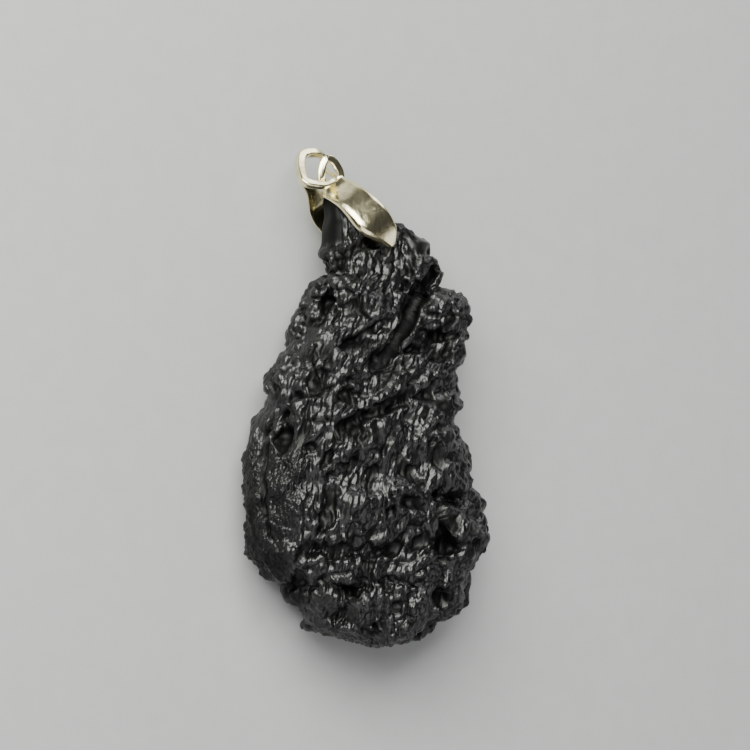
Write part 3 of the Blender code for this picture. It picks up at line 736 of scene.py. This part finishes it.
def peg(low, high):
    """A round pin in the middle of the hole, between two heights."""
    turns = np.linspace(0, 2 * np.pi, PEG_AROUND, endpoint=False)
    vertices = [bail_place(PEG_RADIUS * math.cos(t), PEG_RADIUS * math.sin(t), z)
                for z in (low, high) for t in turns]
    return mesh_object("peg", vertices, tube_faces(2, PEG_AROUND))


print("a leaf has", LEAF_AROUND * (LEAF_STEPS * (len(FRONT_LEAF) - 1) + 1), "vertices before remeshing")

# %% [markdown]
# The parts of a half are joined and then remeshed finely, so that they run into one
# another with the small soft fillets of a casting. Beveling the joints by hand would be the
# other way, but three shapes meet there at odd angles.

# %% Cast halves
CAST_GRAIN, CAST_SOFTENING = 0.05, 4           # size of the new mesh's cells, smoothing steps
FRONT_PEG_TOP, BACK_PEG_FOOT = 9.8, 2.35       # where the pegs meet their leaves


def cast(piece, body, node):
    """Remesh the joined piece and soften it, and put it in the place of its node."""
    remesh = piece.modifiers.new("remesh", "REMESH")
    remesh.mode = "VOXEL"
    remesh.voxel_size = CAST_GRAIN * MM
    soften = piece.modifiers.new("soften", "SMOOTH")
    soften.iterations = CAST_SOFTENING
    bpy.context.view_layer.objects.active = piece
    for name in ("remesh", "soften"):
        bpy.ops.object.modifier_apply(modifier=name)
    piece.data.shade_smooth()
    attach(piece, body)
    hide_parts(node)
    print(piece.name, "has", sum(len(f.vertices) - 2 for f in piece.data.polygons), "triangles")


front_half = leaf("front_half", FRONT_LEAF, 1)
eyelet_line = [(across, along, EYELET_Z, EYELET_RADIUS) for across, along in EYELET]
combine(front_half, wire_loop("eyelet", eyelet_line, EYELET_FLATNESS, EYELET_FACE), "UNION")
combine(front_half, peg(FRONT_PEG_END, FRONT_PEG_TOP), "UNION")
cast(front_half, "front_half", "bail_front")
back_half = leaf("back_half", BACK_LEAF, -1)
combine(back_half, wire_loop("chain_ring", RING, RING_FLATNESS, RING_FACE), "UNION")
combine(back_half, peg(BACK_PEG_FOOT, BACK_PEG_END), "UNION")
cast(back_half, "back_half", "bail_back")

# %% [markdown]
# The finishes are node materials. Two small helpers keep them readable: a Value wraps a
# socket so that sums and products can be written as plain expressions, and a Finish makes
# any other node from its type, its settings and what goes into its sockets.

# %% Shader helpers


class Value:
    """A number that varies over a surface: the output socket of a node."""

    def __init__(self, finish, socket):
        self.finish, self.socket = finish, socket

    def maths(self, operation, first, second):
        return self.finish.node("ShaderNodeMath", {"operation": operation}, {0: first, 1: second})

    def __add__(self, other):
        return self.maths("ADD", self, other)

    def __sub__(self, other):
        return self.maths("SUBTRACT", self, other)

    def __rsub__(self, other):
        return self.maths("SUBTRACT", other, self)

    def __mul__(self, other):
        return self.maths("MULTIPLY", self, other)

    __radd__, __rmul__ = __add__, __mul__


class Finish:
    """A material whose nodes are added one by one."""

    def __init__(self, name, **constants):
        self.material = bpy.data.materials.new(name)
        self.material.use_nodes = True
        self.tree = self.material.node_tree
        self.shader = self.tree.nodes["Principled BSDF"]
        for socket, value in constants.items():
            self.shader.inputs[socket.replace("_", " ")].default_value = value

    def node(self, kind, settings=None, sockets=None, output=0):
        """A node with its settings and what goes into its sockets; gives one of its outputs."""
        made = self.tree.nodes.new(kind)
        for name, setting in (settings or {}).items():
            setattr(made, name, setting)
        for name, value in (sockets or {}).items():
            self.feed(made.inputs[name], value)
        return Value(self, made.outputs[output])

    def feed(self, socket, value):
        if isinstance(value, Value):
            self.tree.links.new(value.socket, socket)
        else:
            socket.default_value = value

    def attribute(self, name):
        return self.node("ShaderNodeAttribute", {"attribute_name": name}, output="Fac")

    def noise(self, place, scale, detail=3.0, roughness=0.55):
        return self.node("ShaderNodeTexNoise", {}, {
            "Vector": place, "Scale": scale, "Detail": detail, "Roughness": roughness})

    def ramp(self, value, low, high, start=0.0, end=1.0):
        """The value stretched from the range low to high onto start to end, and held there."""
        return self.node("ShaderNodeMapRange", {"clamp": True}, {
            "Value": value, "From Min": low, "From Max": high, "To Min": start, "To Max": end})

    def blend(self, factor, first, second):
        """A mix of two colours."""
        return self.node("ShaderNodeMix", {"data_type": "RGBA"}, {
            0: factor, 6: (*first, 1) if isinstance(first, tuple) else first,
            7: (*second, 1) if isinstance(second, tuple) else second}, output=2)

    def bump(self, height, distance, strength=1.0, under=None):
        sockets = {"Height": height, "Distance": distance, "Strength": strength}
        if under:
            sockets["Normal"] = under
        return self.node("ShaderNodeBump", {}, sockets)

    def put(self, **links):
        for socket, value in links.items():
            self.feed(self.shader.inputs[socket.replace("_", " ")], value)


print("helpers ready")

# %% [markdown]
# Tektite glass is black, and all that is seen of it is what it mirrors. So the finish is
# mostly about gloss: bright and wet on the knobs, duller in the hollows where earth has
# etched it. A bump of domes that are smaller than the mesh's own knobs breaks the
# reflections up as the real skin does, with a finer grain on the worn satin flank. Shade
# is painted into deep gaps, cuts and pockets, onto the neck's side, the satin flank and a
# few steep spots: there a second, near-black and duller shader is mixed in, as if next to
# no light found its way out.

# %% Tektite glass
MICRO_KNOB = (0.4, 0.72, 0.5)       # size sideways, lengthwise and deep
GRAIN_KNOB = (0.3, 0.4, 0.35)
GRAIN_STRENGTH = 1.5                # bump of the grain against that of the small domes
CLOUD_SCALE, SPECK_SCALE = 900, 6000
CLOUD_RANGE = (0.3, 0.75)
GLOSSY, DULL = 0.28, 0.43           # roughness of the clearest and of the dullest skin
HOLLOW_DULLING, GLASSY_CLEARING = 0.12, 0.08
DOME_BUMP, SPECK_BUMP = (0.0001, 0.9), (0.00003, 0.3)
# Painted shade: the range of the deep layer that mixes it in, its largest share, and its near-black
# colour, roughness and specular.
HOLLOW_RANGE, PAINTED_SHADE_RANGE, PAINTED_SHADE_SHARE = (0.2, 0.9), (0.1, 0.6), 0.95
CLEAR_BLACK, CLOUDED_BLACK = (0.0015, 0.0016, 0.0016), (0.003, 0.0031, 0.003)
EARTHY_BLACK, PAINTED_SHADE_BLACK = (0.005, 0.0048, 0.0042), (0.0015, 0.0015, 0.0015, 1)
PAINTED_SHADE_ROUGHNESS, PAINTED_SHADE_SPECULAR = 0.5, 0.12
knob_axes = (across_way * math.cos(KNOB_LEAN) - length_way * math.sin(KNOB_LEAN),
             across_way * math.sin(KNOB_LEAN) + length_way * math.cos(KNOB_LEAN), camera_way)
knob_turn = Matrix(knob_axes).transposed().to_euler()
glass = Finish("tektite_glass", IOR=1.5)
spot = glass.node("ShaderNodeTexCoord", output="Object")
hollow, satin, glassy = (glass.attribute(name) for name in ("hollow", "satin", "glassy"))
cloud = glass.noise(spot, CLOUD_SCALE)


def micro_knobs(size):
    """Domes of the given size, which lean as the knobs of the mesh do."""
    stretched = glass.node("ShaderNodeMapping", {"vector_type": "TEXTURE"}, {
        "Vector": spot, "Rotation": knob_turn, "Scale": tuple(step * MM for step in size)})
    near = glass.node("ShaderNodeTexVoronoi", {"feature": "F1"}, {"Vector": stretched, "Scale": 1.0})
    return 1 - near * near


small_domes = micro_knobs(MICRO_KNOB) * (1 - satin)
small_domes += micro_knobs(GRAIN_KNOB) * (GRAIN_STRENGTH * satin)
speck = glass.noise(spot, SPECK_SCALE, detail=2)
hollow_share = glass.ramp(hollow, *HOLLOW_RANGE)
skin = glass.blend(cloud, CLEAR_BLACK, CLOUDED_BLACK)
skin = glass.blend(hollow_share, skin, EARTHY_BLACK)
roughness = glass.ramp(cloud, *CLOUD_RANGE, GLOSSY, DULL)
roughness += hollow_share * HOLLOW_DULLING - glassy * GLASSY_CLEARING
dome_bump = glass.bump(small_domes * (1 - glassy), *DOME_BUMP)
glass.put(Base_Color=skin, Roughness=roughness,
          Normal=glass.bump(speck, *SPECK_BUMP, under=dome_bump))
# Painted shade: a near-black, dull shader that the deep layer mixes in over the clear glass.
shade = glass.node("ShaderNodeBsdfPrincipled", {}, {
    "Base Color": PAINTED_SHADE_BLACK, "Roughness": PAINTED_SHADE_ROUGHNESS, "Specular IOR Level": PAINTED_SHADE_SPECULAR})
depth = glass.ramp(glass.attribute("deep"), *PAINTED_SHADE_RANGE, 0, PAINTED_SHADE_SHARE)
clear = Value(glass, glass.shader.outputs[0])
mixed = glass.node("ShaderNodeMixShader", {}, {0: depth, 1: clear, 2: shade})
glass.feed(glass.tree.nodes["Material Output"].inputs["Surface"], mixed)
stone.data.materials.clear()
stone.data.materials.append(glass.material)
print("tektite glass has", len(glass.tree.nodes), "nodes")

# %% [markdown]
# The bail is plated in pale gold and polished, but it is a small casting that has been
# worn: the polish is a little wavy, with fine lengthwise scratches and faint darker
# tarnish where fingers don't rub. Metal has no colour of its own but that of its
# reflections, so the base colour is what tints them.

# %% Pale gold
WAVE_SCALE, SCRATCH_SCALE = 600, 900
SCRATCH_STRETCH = (6.0, 0.5, 3.0)       # in X, Y and Z: the scratches run along Y
BRIGHT_GOLD, DULL_GOLD = (0.94, 0.86, 0.56), (0.64, 0.57, 0.33)
TARNISH_RANGE, SCRATCH_RANGE = (0.5, 0.75), (0.35, 0.7)
# Roughness of the polish, of its scratches, and what tarnish adds to it.
POLISHED, SCRATCHED, TARNISHED = 0.13, 0.24, 0.06
WAVE_BUMP, SCRATCH_BUMP = (0.0001, 0.3), (0.00003, 0.6)
gold = Finish("pale_gold", Metallic=1.0)
spot = gold.node("ShaderNodeTexCoord", output="Object")
cloud = gold.noise(spot, WAVE_SCALE)
stretched = gold.node("ShaderNodeMapping", {}, {
    "Vector": spot, "Rotation": (0, 0, SWING), "Scale": SCRATCH_STRETCH})
scratch = gold.noise(stretched, SCRATCH_SCALE, detail=4, roughness=0.7)
tarnish = gold.ramp(cloud, *TARNISH_RANGE)
colour = gold.blend(tarnish, BRIGHT_GOLD, DULL_GOLD)
roughness = gold.ramp(scratch, *SCRATCH_RANGE, POLISHED, SCRATCHED) + tarnish * TARNISHED
wavy = gold.bump(cloud, *WAVE_BUMP)
gold.put(Base_Color=colour, Roughness=roughness,
         Normal=gold.bump(scratch, *SCRATCH_BUMP, under=wavy))
for piece in (front_half, back_half):
    piece.data.materials.clear()
    piece.data.materials.append(gold.material)
print("pale gold has", len(gold.tree.nodes), "nodes")

# %% [markdown]
# The floor is pale matt paper with a faint fibre. It shows where the pendant lies, and its
# brightness fills the stone's undersides.

# %% Floor
FLOOR_SIZE = 2.0
FIBRE_SCALE = 400
PAPER_DARKER, PAPER_LIGHTER = (0.33, 0.332, 0.335), (0.37, 0.372, 0.375)
floor_mesh = bpy.data.meshes.new("floor")
half = FLOOR_SIZE / 2
floor_mesh.from_pydata([(-half, -half, 0), (half, -half, 0), (half, half, 0), (-half, half, 0)],
                       [], [(0, 1, 2, 3)])
floor = bpy.data.objects.new("floor", floor_mesh)
bpy.context.scene.collection.objects.link(floor)
paper = Finish("paper", Roughness=0.9)
fibre = paper.noise(paper.node("ShaderNodeTexCoord", output="Object"), FIBRE_SCALE)
paper.put(Base_Color=paper.blend(fibre, PAPER_DARKER, PAPER_LIGHTER))
floor_mesh.materials.append(paper.material)
print("floor is", FLOOR_SIZE, "m wide")

# %% [markdown]
# Polished things look like what they mirror, so each soft light has a task: the key light
# from the upper left glitters on the knobs and the leaf's bevel, the low light fills the
# shadows, the back light is what the chain ring mirrors, and the toe light is what the
# leaf's toe mirrors. The room is dim, so that the glass stays black between them.

# %% Lights and room
ROOM_COLOUR, ROOM_STRENGTH = (0.5, 0.51, 0.53, 1), 0.1


def soft_light(name, place, size, power, tint=(1, 1, 1)):
    """A square area light that faces the stone, with its place in millimetres."""
    data = bpy.data.lights.new(name, "AREA")
    data.size, data.energy, data.color = size * MM, power, tint
    light = bpy.data.objects.new(name, data)
    bpy.context.scene.collection.objects.link(light)
    light.location = Vector(place) * MM
    light.rotation_euler = (-light.location).to_track_quat("-Z", "Y").to_euler()


soft_light("key_light", (-150, 175, 240), 290, 3.75, (0.985, 1.0, 0.94))
soft_light("low_light", (-80, -230, 230), 360, 0.65)
soft_light("back_light", (190, 312, 84), 160, 0.36)
soft_light("toe_light", (255, -100, 120), 160, 0.12)
room = bpy.data.worlds.new("room")
bpy.context.scene.world = room
room.use_nodes = True
room.node_tree.nodes["Background"].inputs["Color"].default_value = ROOM_COLOUR
room.node_tree.nodes["Background"].inputs["Strength"].default_value = ROOM_STRENGTH
